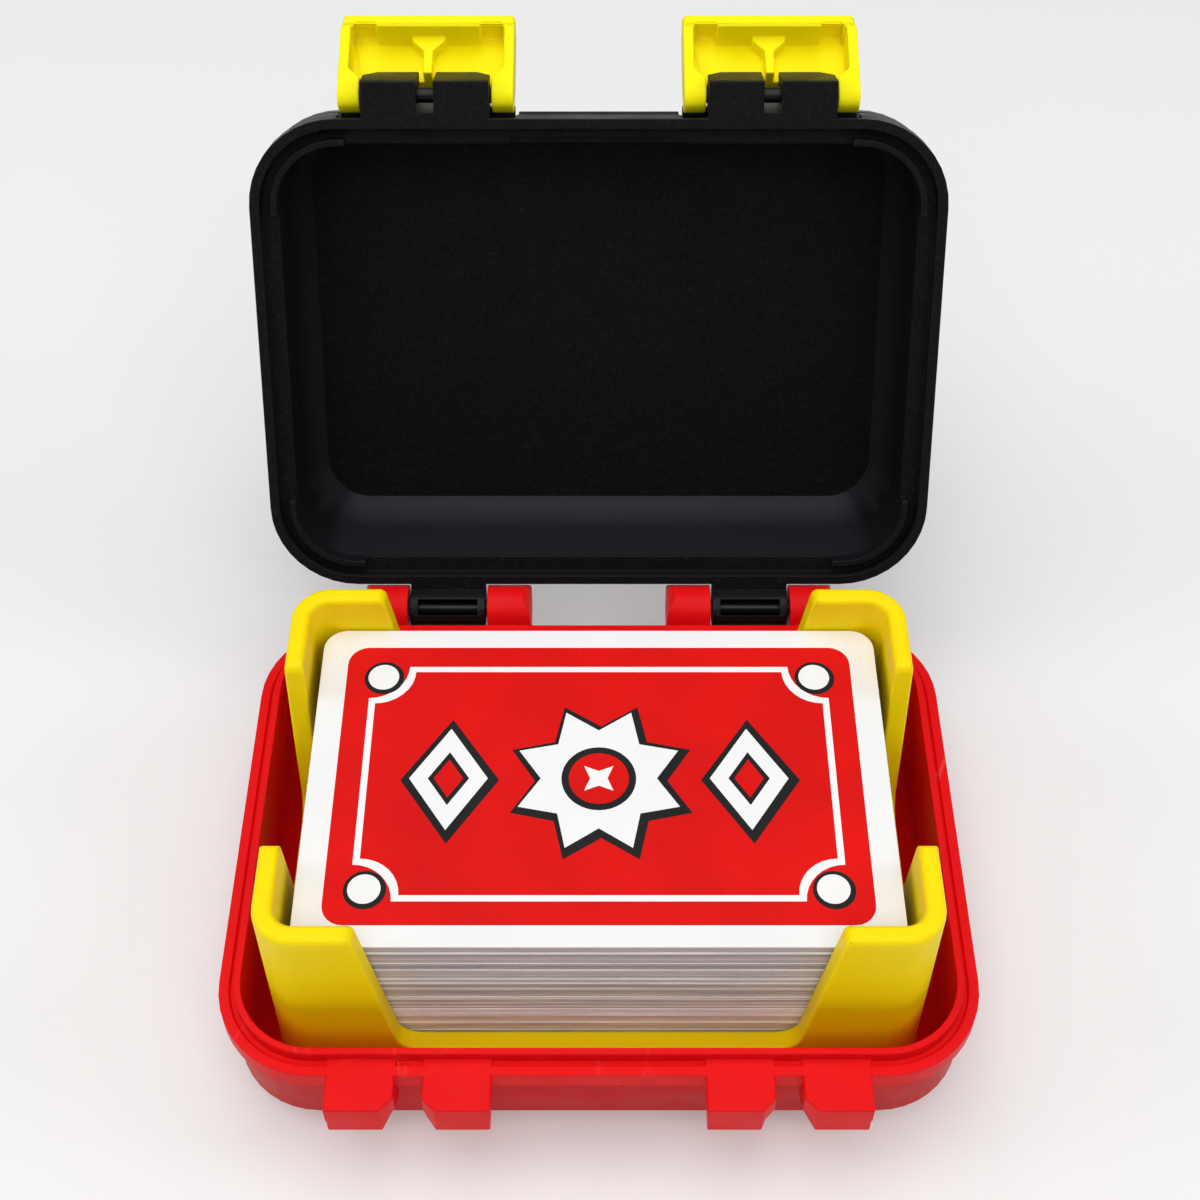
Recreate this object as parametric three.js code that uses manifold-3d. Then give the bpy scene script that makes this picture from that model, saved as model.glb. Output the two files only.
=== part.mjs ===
// A hinged carrying case for one deck of playing cards, open on a table.
// A red base holds a yellow tray with four corner posts, and the tray holds the deck.
// A black lid turns on two hinge pins and carries two yellow latches on pins of their own.
// Millimetres, +Z up, the hinge at +Y and the latches at -Y.
// The origin is the middle of the base's underside.
import * as THREE from "three";
import { mergeVertices } from "three/addons/utils/BufferGeometryUtils.js";
import Module from "manifold-3d";

const wasm = await Module();
wasm.setup();

// Clearances
const turningGap = 0.3; // round pins, between the latch arms and their block, under the lid's rim
const stackGap = 0.04; // between packets of cards, under the deck and under the tray
const overrun = 1; // how far a cutting body runs past what it cuts

// The deck
const cardLength = 87;
const cardWidth = 56;
const cardCorner = 3.6;
const cardThickness = 0.28;
const cardCount = 108;
const packetCount = 12;
const deckAboveRim = 14;

// The tray
const trayWall = 3;
const trayFloor = 1.8;
const trayEndGap = 1.6;
const traySideGap = 0.3;
const trayCorner = 6;
const trayEdge = 0.6;
const trayFootChamfer = 1;
const trayLowWall = 5.8; // above the tray's floor
const postAboveDeck = 7.1;
const frontArm = 14.3; // along the front and the rear, at the top of a post
const sideArm = 15.8; // along the sides, at the top of a post
const armFlare = 4.7; // how much wider an arm is at its foot
const postRound = 2;
const gapFillet = 4;

// The rims
const trayEndRoom = 3.9; // between the tray and the base's wall
const traySideRoom = 5.6;
const rimCorner = 14.6;
const flangeHeight = 3.1;
const landWidth = 1.5;
const ledgeDrop = 0.6;
const ledgeSlope = 0.15;
const tongueInset = 2.4;
const tongueWidth = 1;
const tongueHeight = 1.7;

// The base
const baseFloor = 2;
const baseWall = 2;
const baseChamferWidth = 4.5;
const baseChamferHeight = 5.9;
const baseFloorChamferWidth = 3.3;
const baseFloorChamferHeight = 4.2;
const underFlange = 0.5;

// The latch lugs of the base
const latchFromEnd = 28.6; // in from the end of the rim
const lugPairWidth = 23.4;
const lugGap = 3.95;
const lugReach = 5.2;
const lugHeight = 7.1;
const lugChamfer = 1.85;
const lugSweep = 4.7;
const lugParting = 3.4;
const lugStep = 0.2;
const lugStepHeight = 0.25;
const lugEdge = 0.5;

// The hinges
const hingeFromEnd = 29.8; // in from the end of the rim
const hingeBehindRim = 3.75;
const knuckleLength = 12.7;
const knuckleRadius = 3.2;
const hingeSideGap = 0.35;
const hingeLugLength = 7.4;
const hingeLugRadius = 3.9;
const hingeLugRound = 3.2;
const hingeLugDrop = 8;
const hingePinRadius = 1.2;
const hingePinBlindDepth = 5;
const windowLength = 10;
const windowHeight = 2.7;
const windowTurn = THREE.MathUtils.degToRad(63);

// The lid
const lidOpenAngle = THREE.MathUtils.degToRad(114.5);
const lidInset = 0.5; // how far the lid's rim lies inside the base's
const lidLip = 1;
const lidWallHeight = 13;
const lidDepth = 22.2;
const lidChamferWidth = 2.5;
const lidWall = 2;
const lidTop = 2;
const grooveInset = 1.6;
const grooveWidth = 1.7;
const grooveDepth = 2.1;
const lipRun = 1.3; // how far the inner lip runs on past a corner's arc
const bumperHeight = 9.2;
const bumperDraft = 0.5;
const bumperLine = 6.4;
const bumperLineDepth = 0.35;
const gripLength = 25;
const gripHeight = 5.6;
const gripGrooves = 3;
const gripGrooveWidth = 0.45;
const gripGrooveDepth = 0.35;
const thumbNotchLength = 27.8;
const thumbNotchDepth = 0.8;
const armRecess = 0.8;
const armRecessFoot = 0.9;
const armRecessTop = 5.2;

// The latch blocks of the lid
const blockWidth = 19.8;
const blockHeight = 7.7;
const blockReach = 5.85; // out of the lid's rim
const blockShoulderWidth = 2.5;
const blockShoulderHeight = 2.7;
const blockEdge = 0.6;
const slotWidth = 2.7;
const slotDepth = 4.9;

// The latches
const latchOpenAngle = THREE.MathUtils.degToRad(135.5);
const latchPinRadius = 1.25;
const latchPinReach = 2.5; // out of the base's rim
const latchPinHeight = 3.6; // above the lid's rim
const latchPinBlindDepth = 2.1;
const latchBoss = 2.3;
const latchPlate = 2.2;
const latchFloorGap = 0.35;
const latchWall = 1.6;
const latchEnd = 3.4;
const latchPocketNear = 8.2; // from the latch's middle
const latchPocketWidth = 3.5;
const latchPocketDepth = 1.6;
const hookCatch = 3.2;
const hookSlope = 1.7;
const hookCorner = 1;
const windowRoot = 4.4; // from the pin to the plate
const windowCorner = 1.5;
const ribStem = 1.4;
const ribHead = 5.2;
const ribHeight = 2.6;
const ribHeadLength = 0.9;
const ribShoulder = 1.9;

// Facets of one round corner, and of one whole pin
const cornerFacets = 10;
const smallFacets = 3;
const pinFacets = 24;

// Sizes worked out from those above
const deckThickness = cardCount * cardThickness;
const trayHalfLength = cardLength / 2 + trayEndGap + trayWall;
const trayHalfWidth = cardWidth / 2 + traySideGap + trayWall;
const trayBottom = baseFloor + stackGap;
const deckBottom = trayBottom + trayFloor + stackGap;
const deckTop = deckBottom + deckThickness;
const rimHeight = deckTop - deckAboveRim;
const postTop = deckTop + postAboveDeck;
const lowWallTop = trayBottom + trayFloor + trayLowWall;
const cavityInset = tongueInset + tongueWidth;
const rimLength = 2 * (trayHalfLength + trayEndRoom + cavityInset);
const rimWidth = 2 * (trayHalfWidth + traySideRoom + cavityInset);
const rimFront = -rimWidth / 2;
const latchCentre = rimLength / 2 - latchFromEnd;
const hingeCentre = rimLength / 2 - hingeFromEnd;
const hingeY = rimWidth / 2 + hingeBehindRim;
const lidCavityInset = grooveInset + grooveWidth + lidLip;
const lidBodyInset = lidCavityInset - lidWall;
const lidHeight = lidDepth + lidTop;
const lidFront = rimFront + lidInset;
const latchPinY = rimFront - latchPinReach;
const latchHalfWidth = lugPairWidth / 2 + turningGap + latchWall;
const latchFloor = lugReach + latchFloorGap - latchPinReach; // from the pin out to the hollow's floor
const lugBottomBelowPin = latchPinHeight + turningGap + lugHeight;
const hollowEnd = lugBottomBelowPin + turningGap;
const latchLength = hollowEnd + latchEnd;

// Solids

function toSolid(geometry) {
  const bare = geometry.clone();
  bare.deleteAttribute("normal");
  bare.deleteAttribute("uv");
  const merged = mergeVertices(bare);
  return new wasm.Manifold(
    new wasm.Mesh({
      numProp: 3,
      vertProperties: merged.attributes.position.array,
      triVerts: new Uint32Array(merged.index.array),
    }),
  );
}

function toGeometry(solid) {
  const { vertProperties, triVerts } = solid.getMesh();
  const geometry = new THREE.BufferGeometry();
  geometry.setAttribute("position", new THREE.BufferAttribute(vertProperties, 3));
  geometry.setIndex(new THREE.BufferAttribute(triVerts, 1));
  geometry.computeVertexNormals();
  return geometry;
}

const join = (first, ...others) => others.reduce((all, one) => all.add(one), first);
const cut = (first, ...others) => others.reduce((left, one) => left.subtract(one), first);

// A closed outline from corners, each an x, a y and the radius that rounds it.
function outline(corners) {
  const shape = new THREE.Shape();
  const at = (i) => new THREE.Vector2(...corners[(i + corners.length) % corners.length]);
  corners.forEach(([, , radius = 0], i) => {
    const corner = at(i);
    const before = at(i - 1).sub(corner).normalize();
    const after = at(i + 1).sub(corner).normalize();
    const half = Math.acos(before.dot(after)) / 2;
    const start = corner.clone().addScaledVector(before, radius / Math.tan(half));
    const end = corner.clone().addScaledVector(after, radius / Math.tan(half));
    if (i === 0) shape.moveTo(start.x, start.y);
    else shape.lineTo(start.x, start.y);
    if (radius === 0) return;
    const middle = before.clone().add(after).normalize();
    const centre = corner.clone().addScaledVector(middle, radius / Math.sin(half));
    const from = start.sub(centre).angle();
    const to = end.sub(centre).angle();
    shape.absarc(centre.x, centre.y, radius, from, to, before.cross(after) > 0);
  });
  shape.closePath();
  return shape;
}

// A prism of a shape drawn in Y and Z, between two places along X.
function prismAlongX(shape, left, right, facets = smallFacets) {
  const options = { depth: right - left, bevelEnabled: false, curveSegments: facets };
  const turn = new THREE.Matrix4().makeBasis(
    new THREE.Vector3(0, 1, 0),
    new THREE.Vector3(0, 0, 1),
    new THREE.Vector3(1, 0, 0),
  );
  const geometry = new THREE.ExtrudeGeometry(shape, options).applyMatrix4(turn);
  return toSolid(geometry.translate(left, 0, 0));
}

// A prism of a shape drawn in X and Z, between two places along Y.
function prismAlongY(shape, front, rear, facets = smallFacets) {
  const options = { depth: rear - front, bevelEnabled: false, curveSegments: facets };
  const geometry = new THREE.ExtrudeGeometry(shape, options).rotateX(Math.PI / 2);
  return toSolid(geometry.translate(0, rear, 0));
}

function rodAlongX(radius, left, right, y, z) {
  const rod = new THREE.CylinderGeometry(radius, radius, right - left, pinFacets);
  return toSolid(rod.rotateZ(Math.PI / 2).translate((left + right) / 2, y, z));
}

// A block between two opposite corners.
function block([x0, y0, z0], [x1, y1, z1]) {
  const box = new THREE.BoxGeometry(x1 - x0, y1 - y0, z1 - z0);
  return toSolid(box.translate((x0 + x1) / 2, (y0 + y1) / 2, (z0 + z1) / 2));
}

// One level of a rim-shaped form: the rounded rectangle that lies the inset inside the size given.
function level(size, inset, z) {
  const radius = size.corner - inset;
  const points = [];
  for (let corner = 0; corner < 4; corner += 1) {
    const signX = corner === 0 || corner === 3 ? 1 : -1;
    const signY = corner < 2 ? 1 : -1;
    for (let step = 0; step <= cornerFacets; step += 1) {
      const angle = ((corner + step / cornerFacets) * Math.PI) / 2;
      const x = signX * (size.length / 2 - size.corner) + radius * Math.cos(angle);
      const y = signY * (size.width / 2 - size.corner) + radius * Math.sin(angle);
      points.push(new THREE.Vector3(x, y, z));
    }
  }
  return points;
}

// A solid skinned over levels that run from an upward face, over its edges, to a downward face.
function skin(levels) {
  const count = levels[0].length;
  const centre = (points) => new THREE.Vector3(0, 0, points[0].z);
  const points = [...levels.flat(), centre(levels[0]), centre(levels.at(-1))];
  const index = [];
  for (let i = 0; i < count; i += 1) {
    const next = (i + 1) % count;
    for (let row = 0; row + 1 < levels.length; row += 1) {
      const here = row * count;
      const below = here + count;
      index.push(here + i, below + i, below + next);
      index.push(here + i, below + next, here + next);
    }
    const last = (levels.length - 1) * count;
    index.push(levels.length * count, i, next);
    index.push(levels.length * count + 1, last + next, last + i);
  }
  return toSolid(new THREE.BufferGeometry().setFromPoints(points).setIndex(index));
}

// Skins a list of insets and heights round a size.
const shell = (size, rows) => skin(rows.map(([inset, z]) => level(size, inset, z)));

const baseSize = { length: rimLength, width: rimWidth, corner: rimCorner };
const lidSize = {
  length: rimLength - 2 * lidInset,
  width: rimWidth - 2 * lidInset,
  corner: rimCorner - lidInset,
};
const traySize = { length: 2 * trayHalfLength, width: 2 * trayHalfWidth, corner: trayCorner };
const cardSize = { length: cardLength, width: cardWidth, corner: cardCorner };

// The base: a chamfered shell with a flange, a land, a ledge and a raised tongue round its mouth.
function baseShell() {
  const bodyInset = cavityInset - baseWall;
  const shellRows = [
    [cavityInset + baseFloorChamferWidth, baseFloor],
    [cavityInset, baseFloor + baseFloorChamferHeight],
    [cavityInset, rimHeight + tongueHeight],
    [tongueInset, rimHeight + tongueHeight],
    [tongueInset, rimHeight - ledgeDrop],
    [landWidth + ledgeSlope, rimHeight - ledgeDrop],
    [landWidth, rimHeight],
    [0, rimHeight],
    [0, rimHeight - flangeHeight],
    [bodyInset, rimHeight - flangeHeight - underFlange],
    [bodyInset, baseChamferHeight],
    [bodyInset + baseChamferWidth, 0],
  ];
  const lugs = [-1, 1].flatMap((pair) => [-1, 1].map((side) => latchLug(pair, side)));
  const hinges = [-1, 1].flatMap((hinge) => [-1, 1].map((side) => hingeLug(hinge, side)));
  return join(shell(baseSize, shellRows), ...lugs, ...hinges);
}

// One of a pair of latch lugs: its corner next to the gap is cut off, and more so at its foot.
function latchLug(pair, side) {
  const root = rimFront + (cavityInset + landWidth) / 2;
  const front = rimFront - lugReach;
  const inner = lugGap / 2;
  const outer = lugPairWidth / 2;
  const section = (cutBack, edge, z) =>
    [
      [inner, root],
      [inner, front + cutBack],
      [inner + lugChamfer, front + edge],
      [outer - edge, front + edge],
      [outer - edge, root],
    ].map(([x, y]) => new THREE.Vector3(pair * latchCentre + side * x, y, z));
  const sections = [
    section(lugChamfer, 0, rimHeight),
    section(lugChamfer, 0, rimHeight - lugParting),
    section(lugChamfer, lugStep, rimHeight - lugParting - lugStepHeight),
    section(lugSweep, lugStep, rimHeight - lugHeight + lugEdge),
    section(lugSweep, lugStep + lugEdge, rimHeight - lugHeight),
  ];
  if (side < 0) sections.forEach((points) => points.reverse());
  return loft(sections);
}

// A solid through sections of one point count, from the highest to the lowest.
function loft(sections) {
  const count = sections[0].length;
  const index = [];
  for (let row = 0; row + 1 < sections.length; row += 1) {
    for (let i = 0; i < count; i += 1) {
      const next = (i + 1) % count;
      const here = row * count;
      const below = here + count;
      index.push(here + i, below + i, below + next);
      index.push(here + i, below + next, here + next);
    }
  }
  const last = (sections.length - 1) * count;
  for (let i = 1; i + 1 < count; i += 1) {
    index.push(0, i, i + 1);
    index.push(last, last + i + 1, last + i);
  }
  return toSolid(new THREE.BufferGeometry().setFromPoints(sections.flat()).setIndex(index));
}

// A hinge lug: a barrel round the pin on a gusset, rounded off on the side away from the knuckle.
function hingeLug(hinge, side) {
  const near = knuckleLength / 2 + hingeSideGap;
  const far = near + hingeLugLength;
  const left = hinge * hingeCentre + Math.min(side * near, side * far);
  const right = left + hingeLugLength;
  const wall = rimWidth / 2 - (cavityInset + landWidth) / 2;
  const barrel = rodAlongX(hingeLugRadius, left, right, hingeY, rimHeight);
  const gusset = outline([
    [wall, rimHeight - hingeLugDrop],
    [hingeY + hingeLugRadius, rimHeight - hingeLugRadius, hingeLugRadius / 2],
    [hingeY + hingeLugRadius, rimHeight],
    [wall, rimHeight],
  ]);
  const nearX = side > 0 ? left : right;
  const farX = side > 0 ? right : left;
  const top = rimHeight + hingeLugRadius + overrun;
  const bottom = rimHeight - hingeLugDrop - overrun;
  const silhouette = outline([
    [nearX, bottom],
    [farX, bottom],
    [farX, rimHeight + hingeLugRadius, hingeLugRound],
    [nearX, top],
  ]);
  const lug = join(barrel, prismAlongX(gusset, left, right));
  const rear = hingeY + hingeLugRadius + overrun;
  const shaped = lug.intersect(prismAlongY(silhouette, 0, rear, cornerFacets / 2));
  const blind = side * hinge < 0;
  const start = near - overrun;
  const end = blind ? near + hingePinBlindDepth : far + overrun;
  const boreEnds = [hinge * hingeCentre + side * start, hinge * hingeCentre + side * end];
  const bore = hingePinRadius + turningGap;
  return cut(shaped, rodAlongX(bore, Math.min(...boreEnds), Math.max(...boreEnds), hingeY, rimHeight));
}

// The lid in its own frame: closed, its rim at zero height.
function lidShell() {
  const rows = [
    [lidBodyInset + lidChamferWidth, lidHeight],
    [lidBodyInset, lidWallHeight],
    [lidBodyInset, flangeHeight + underFlange],
    [0, flangeHeight],
    [0, 0],
    [lidCavityInset, 0],
    [lidCavityInset, lidWallHeight],
    [lidCavityInset + lidChamferWidth, lidDepth],
  ];
  const body = join(
    shell(lidSize, rows),
    cornerBumpers(),
    frontGrip(),
    ...[-1, 1].map(latchBlock),
    ...[-1, 1].map(knuckle),
  );
  const recesses = [-1, 1].flatMap((latch) => [-1, 1].map((side) => armRecessCut(latch, side)));
  return cut(body, tongueGroove(), thumbNotch(), ...recesses);
}

// A ring round the lid's rim between two insets and two heights.
function rimRing(outerInset, innerInset, bottom, top, draft = 0) {
  const outer = shell(lidSize, [
    [outerInset + draft, top],
    [outerInset, bottom],
  ]);
  const inner = shell(lidSize, [
    [innerInset, top + overrun],
    [innerInset, bottom - overrun],
  ]);
  return cut(outer, inner);
}

// The groove for the base's tongue: its inner lip stands only at the corners.
function tongueGroove() {
  const groove = rimRing(grooveInset, grooveInset + grooveWidth, -overrun, grooveDepth);
  const rebate = rimRing(grooveInset, lidCavityInset + overrun, -overrun, grooveDepth);
  const x = lidSize.length / 2 - lidSize.corner - lipRun;
  const y = lidSize.width / 2 - lidSize.corner - lipRun;
  const alongX = block([-x, -lidSize.width, -overrun], [x, lidSize.width, lidHeight]);
  const alongY = block([-lidSize.length, -y, -overrun], [lidSize.length, y, lidHeight]);
  return join(groove, rebate.intersect(join(alongX, alongY)));
}

// Bumpers that carry the flange up round the lid's corners, with a line round them.
function cornerBumpers() {
  const x = lidSize.length / 2 - lidSize.corner;
  const y = lidSize.width / 2 - lidSize.corner;
  const corners = [-1, 1].flatMap((sx) =>
    [-1, 1].map((sy) => {
      const ends = [
        [sx * x, sx * lidSize.length],
        [sy * y, sy * lidSize.width],
      ].map((pair) => [Math.min(...pair), Math.max(...pair)]);
      return block([ends[0][0], ends[1][0], 0], [ends[0][1], ends[1][1], lidHeight]);
    }),
  );
  const line = rimRing(
    -overrun,
    bumperDraft + bumperLineDepth,
    bumperLine - bumperLineDepth,
    bumperLine + bumperLineDepth,
  );
  const band = rimRing(0, (lidBodyInset + lidCavityInset) / 2, flangeHeight / 2, bumperHeight, bumperDraft);
  return cut(band, line).intersect(join(...corners));
}

// The grooved grip between the latches.
function frontGrip() {
  const wall = lidFront + (lidBodyInset + lidCavityInset) / 2;
  const grip = block([-gripLength / 2, lidFront, flangeHeight / 2], [gripLength / 2, wall, gripHeight]);
  const grooves = Array.from({ length: gripGrooves }, (_, i) => {
    const z = flangeHeight + ((gripHeight - flangeHeight) * (i + 1 / 2)) / gripGrooves;
    return block(
      [-gripLength / 2 - overrun, lidFront - overrun, z - gripGrooveWidth / 2],
      [gripLength / 2 + overrun, lidFront + gripGrooveDepth, z + gripGrooveWidth / 2],
    );
  });
  return cut(grip, ...grooves);
}

// A shallow notch inside the groove, for a fingertip.
function thumbNotch() {
  const front = lidFront + grooveInset + grooveWidth;
  return block(
    [-thumbNotchLength / 2, front, -overrun],
    [thumbNotchLength / 2, front + lidLip + overrun, grooveDepth + thumbNotchDepth],
  );
}

// The room in the flange beside a block, where a latch arm turns.
function armRecessCut(latch, side) {
  const near = latch * latchCentre + (side * blockWidth) / 2;
  const far = latch * latchCentre + side * (latchHalfWidth + turningGap);
  return block(
    [Math.min(near, far), lidFront - overrun, armRecessFoot],
    [Math.max(near, far), lidFront + armRecess, armRecessTop],
  );
}

// A latch block: flush with the rim, slotted in the middle, with a bore for the latch's pin.
function latchBlock(latch) {
  const x = latch * latchCentre;
  const front = lidFront - blockReach;
  const wall = lidFront + (lidBodyInset + lidCavityInset) / 2;
  const side = outline([
    [front, 0, blockEdge / 2],
    [wall, 0],
    [wall, blockHeight],
    [front, blockHeight, blockEdge],
  ]);
  const face = outline([
    [x - blockWidth / 2, 0],
    [x + blockWidth / 2, 0],
    [x + blockWidth / 2, blockHeight - blockShoulderHeight],
    [x + blockWidth / 2 - blockShoulderWidth, blockHeight],
    [x - blockWidth / 2 + blockShoulderWidth, blockHeight],
    [x - blockWidth / 2, blockHeight - blockShoulderHeight],
  ]);
  const solid = prismAlongX(side, x - blockWidth / 2, x + blockWidth / 2).intersect(
    prismAlongY(face, front - overrun, wall + overrun),
  );
  const slot = block(
    [x - slotWidth / 2, front - overrun, -overrun],
    [x + slotWidth / 2, front + slotDepth, blockHeight + overrun],
  );
  const ends = [x - blockWidth / 2 - overrun, x + blockWidth / 2 + overrun];
  const bore = rodAlongX(latchPinRadius + turningGap, ...ends, latchPinY, latchPinHeight);
  return cut(solid, slot, bore);
}

// A hinge knuckle on its web, with a bore and a window that shows the pin.
function knuckle(hinge) {
  const left = hinge * hingeCentre - knuckleLength / 2;
  const right = left + knuckleLength;
  const axis = -turningGap; // the pin's height in the lid's frame
  const inside = lidSize.width / 2 - (lidBodyInset + lidCavityInset) / 2;
  const web = outline([
    [inside, 0],
    [hingeY, 0],
    [hingeY, axis + knuckleRadius],
    [inside, axis + knuckleRadius],
  ]);
  const barrel = rodAlongX(knuckleRadius, left, right, hingeY, axis);
  const bore = rodAlongX(hingePinRadius + turningGap, left - overrun, right + overrun, hingeY, axis);
  const reach = knuckleRadius + overrun;
  const pocket = new THREE.BoxGeometry(windowLength, reach, windowHeight);
  pocket.translate(0, -reach / 2, 0).rotateX(windowTurn);
  pocket.translate(hinge * hingeCentre, hingeY, axis);
  return cut(join(barrel, prismAlongX(web, left, right)), bore, toSolid(pocket));
}

// A latch in its own frame: the pin at the origin, hanging down as when it holds the lid shut.
function latch() {
  const inner = latchPinReach - turningGap;
  const outer = -latchFloor - latchPlate;
  const catchDepth = hookCatch - lugReach + latchPinReach;
  const side = outline([
    [outer, -latchLength, hookCorner],
    [catchDepth, -latchLength, hookCorner / 2],
    [catchDepth, -latchLength + latchEnd / 2],
    [inner, -latchLength + latchEnd / 2 + hookSlope],
    [inner, latchBoss, inner - stackGap],
    [-latchBoss, latchBoss, inner - stackGap],
    [outer, -windowRoot + hookCorner / 2, hookCorner],
  ]);
  const blank = prismAlongX(side, -latchHalfWidth, latchHalfWidth);
  const gap = blockWidth / 2 + turningGap;
  const hollow = lugPairWidth / 2 + turningGap;
  const step = hollow - gap;
  const window = outline([
    [-gap, -windowRoot, windowCorner],
    [gap, -windowRoot, windowCorner],
    [gap, latchBoss + overrun],
    [-gap, latchBoss + overrun],
  ]);
  const lugTop = -latchPinHeight;
  const room = outline([
    [-hollow, -hollowEnd],
    [hollow, -hollowEnd],
    [hollow, lugTop],
    [gap, lugTop + step],
    [gap, latchBoss + overrun],
    [-gap, latchBoss + overrun],
    [-gap, lugTop + step],
    [-hollow, lugTop],
  ]);
  const pockets = [-1, 1].map((side) => {
    const near = side * latchPocketNear;
    const far = side * (latchPocketNear + latchPocketWidth);
    return block(
      [Math.min(near, far), -latchFloor, -hollowEnd - latchPocketDepth],
      [Math.max(near, far), inner + overrun, -hollowEnd + overrun],
    );
  });
  const bore = latchPinRadius + turningGap;
  const boreEnd = gap + latchPinBlindDepth;
  const cleared = cut(
    blank,
    prismAlongY(window, outer - overrun, inner + overrun),
    prismAlongY(room, -latchFloor, inner + overrun),
    ...pockets,
    rodAlongX(bore, -boreEnd, boreEnd, 0, 0),
  );
  return join(cleared, latchRib());
}

// The Y-shaped rib of a latch: its stem passes between the two lugs, and its head fills their chamfers.
function latchRib() {
  const foot = -hollowEnd - latchEnd / 2;
  const head = -hollowEnd + ribHeadLength;
  const shape = outline([
    [-ribHead / 2, foot],
    [ribHead / 2, foot],
    [ribHead / 2, head],
    [ribStem / 2, head + ribShoulder],
    [ribStem / 2, -windowRoot],
    [-ribStem / 2, -windowRoot],
    [-ribStem / 2, head + ribShoulder],
    [-ribHead / 2, head],
  ]);
  return prismAlongY(shape, -latchFloor - latchPlate / 2, -latchFloor + ribHeight);
}

// The tray: a low-walled floor with four corner posts that flare towards their feet.
function cardTray() {
  const rows = [
    [trayWall, trayBottom + trayFloor],
    [trayWall, postTop - trayEdge],
    [trayWall - trayEdge, postTop],
    [trayEdge, postTop],
    [0, postTop - trayEdge],
    [0, trayBottom + trayFootChamfer],
    [trayFootChamfer, trayBottom],
  ];
  const between = (half, arm) => {
    const top = half - arm;
    const foot = top - armFlare;
    const lift = postRound / 2;
    return outline([
      [-foot, lowWallTop, gapFillet],
      [foot, lowWallTop, gapFillet],
      [top, postTop, postRound],
      [half + overrun, postTop + lift],
      [half + overrun, postTop + 2 * lift],
      [-half - overrun, postTop + 2 * lift],
      [-half - overrun, postTop + lift],
      [-top, postTop, postRound],
    ]);
  };
  const front = between(trayHalfLength, frontArm);
  const side = between(trayHalfWidth, sideArm);
  const width = trayHalfWidth + overrun;
  const length = trayHalfLength + overrun;
  return cut(
    shell(traySize, rows),
    prismAlongY(front, -width, width, smallFacets + 1),
    prismAlongX(side, -length, length, smallFacets + 1),
  );
}

// One packet of cards, or the one card on top.
function cards(bottom, top) {
  return shell(cardSize, [
    [0, top],
    [0, bottom],
  ]);
}

// The assembly

const red = { color: 0xd31a1f, roughness: 0.42, metalness: 0 };
const black = { color: 0x17181a, roughness: 0.6, metalness: 0 };
const yellow = { color: 0xf7d90f, roughness: 0.45, metalness: 0 };
const steel = { color: 0x2c2d30, roughness: 0.4, metalness: 0.8 };
const paper = { color: 0xe9e6e0, roughness: 0.8, metalness: 0 };

function piece(name, solid, look) {
  const mesh = new THREE.Mesh(toGeometry(solid), new THREE.MeshStandardMaterial(look));
  mesh.name = name;
  return mesh;
}

const carryingCase = new THREE.Group();
carryingCase.add(piece("base_shell", baseShell(), red));

// Everything on the lid, closed in its own frame and swung open round the hinge pins.
const lidGroup = new THREE.Group();
lidGroup.position.set(0, hingeY, rimHeight);
lidGroup.rotation.x = -lidOpenAngle;
const closedLid = new THREE.Group();
closedLid.position.set(0, -hingeY, turningGap);
closedLid.add(piece("lid_shell", lidShell(), black));
lidGroup.add(closedLid);
carryingCase.add(lidGroup);

for (const [name, side] of [
  ["left", -1],
  ["right", 1],
]) {
  const pinHalf = blockWidth / 2 + turningGap + latchPinBlindDepth - turningGap;
  const latchPin = rodAlongX(latchPinRadius, -pinHalf, pinHalf, 0, 0);
  const pivot = new THREE.Group();
  pivot.position.set(side * latchCentre, latchPinY, latchPinHeight);
  pivot.add(piece(`latch_pin_${name}`, latchPin, steel));
  const swung = new THREE.Group();
  swung.rotation.x = -latchOpenAngle;
  swung.add(piece(`latch_${name}`, latch(), yellow));
  pivot.add(swung);
  closedLid.add(pivot);

  const near = -knuckleLength / 2 - hingeSideGap - hingePinBlindDepth + turningGap;
  const far = knuckleLength / 2 + hingeSideGap + hingeLugLength - turningGap;
  const ends = [side * (hingeCentre + near), side * (hingeCentre + far)];
  const hingePin = rodAlongX(hingePinRadius, Math.min(...ends), Math.max(...ends), hingeY, rimHeight);
  carryingCase.add(piece(`hinge_pin_${name}`, hingePin, steel));
}

carryingCase.add(piece("card_tray", cardTray(), yellow));
const packetThickness = (deckThickness - cardThickness) / packetCount;
for (let i = 0; i < packetCount; i += 1) {
  const bottom = deckBottom + i * packetThickness;
  const name = `card_packet_${String(i + 1).padStart(2, "0")}`;
  carryingCase.add(piece(name, cards(bottom, bottom + packetThickness - stackGap), paper));
}
carryingCase.add(piece("top_card", cards(deckTop - cardThickness, deckTop), paper));

export default carryingCase;
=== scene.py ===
"""Looks for the card carrying case.

Camera, light, floor and materials, and the fine forms that the solids leave out: soft edges,
single cards, the top card's print and the webs behind the latch arms.
"""
import math
import random

import bmesh
import bpy
from mathutils import Matrix, Vector


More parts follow.
